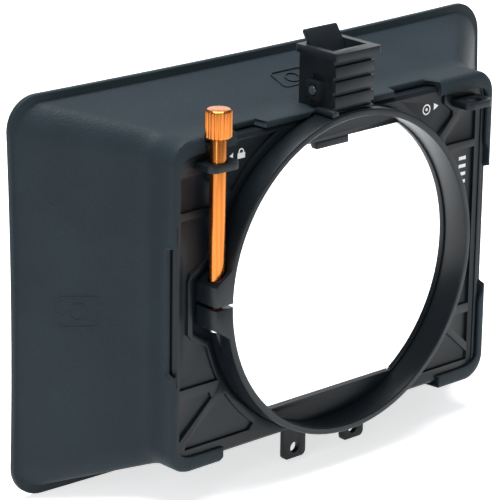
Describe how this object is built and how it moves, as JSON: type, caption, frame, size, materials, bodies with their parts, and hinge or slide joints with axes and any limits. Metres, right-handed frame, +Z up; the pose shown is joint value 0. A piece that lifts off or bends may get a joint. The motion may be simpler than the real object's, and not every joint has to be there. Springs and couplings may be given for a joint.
{
  "type": "clamp-on matte box",
  "caption": "Flared rubber lens hood on a filter frame, clamped round a lens barrel by a split ring with a long orange thumbscrew, with a squeeze latch on top.",
  "frame": {"origin": "centre of the clamp ring's rear face, on the optical axis", "axes": "+X to the right seen from behind, +Y forward towards the scene, along the optical axis, +Z up"},
  "size_m": [0.2268, 0.053, 0.1584],
  "materials": {
    "hood_rubber": "soft matt slate-grey rubber with a fine moulded grain",
    "frame_plastic": "black glass-filled nylon, satin",
    "ring_metal": "black anodised and bead-blasted aluminium",
    "latch_plastic": "black nylon, finely grained",
    "orange_anodised": "bright orange anodising over turned aluminium",
    "stainless": "stainless steel, machined",
    "spring_steel": "spring steel",
    "foam": "black closed-cell foam"
  },
  "bodies": {
    "matte_box": {"hood": "hood_rubber", "filter_frame": "frame_plastic", "clamp_ring": "ring_metal", "clamp_nut": "stainless", "screw_guide_loop": "frame_plastic", "aux_port_loop": "frame_plastic", "latch_housing": "latch_plastic", "latch_pin": "stainless", "latch_spring": "spring_steel", "latch_screw_left": "stainless", "latch_screw_right": "stainless", "ring_screw_1": "stainless", "ring_screw_2": "stainless", "ring_screw_3": "stainless", "ring_screw_4": "stainless", "filter_spring_left": "spring_steel", "filter_spring_right": "spring_steel", "filter_gasket": "foam"},
    "screw_washer": {"clamp_washer": "stainless"},
    "clamp_screw": {"clamp_rod": "orange_anodised", "clamp_knob": "orange_anodised"},
    "latch": {"latch_lever": "latch_plastic"}
  },
  "joints": [
    {"name": "screw_travel", "type": "slide", "parent": "matte_box", "child": "screw_washer", "axis": [0, 0, 1], "range_m": [0, 0.0021]},
    {"name": "screw_turn", "type": "hinge", "parent": "screw_washer", "child": "clamp_screw", "pos_m": [-0.0605, 0.005, 0], "axis": [0, 0, 1], "range_deg": [0, 1080.5]},
    {"name": "latch_squeeze", "type": "hinge", "parent": "matte_box", "child": "latch", "pos_m": [0, 0.0115, 0.0664], "axis": [1, 0, 0], "range_deg": [0, 12], "stiffness_Nm_per_rad": 0.2, "springref_deg": -17.19}
  ],
  "couplings": [
    {"joint": "screw_turn", "follows": "screw_travel", "rad_per_m": 8976}
  ]
}
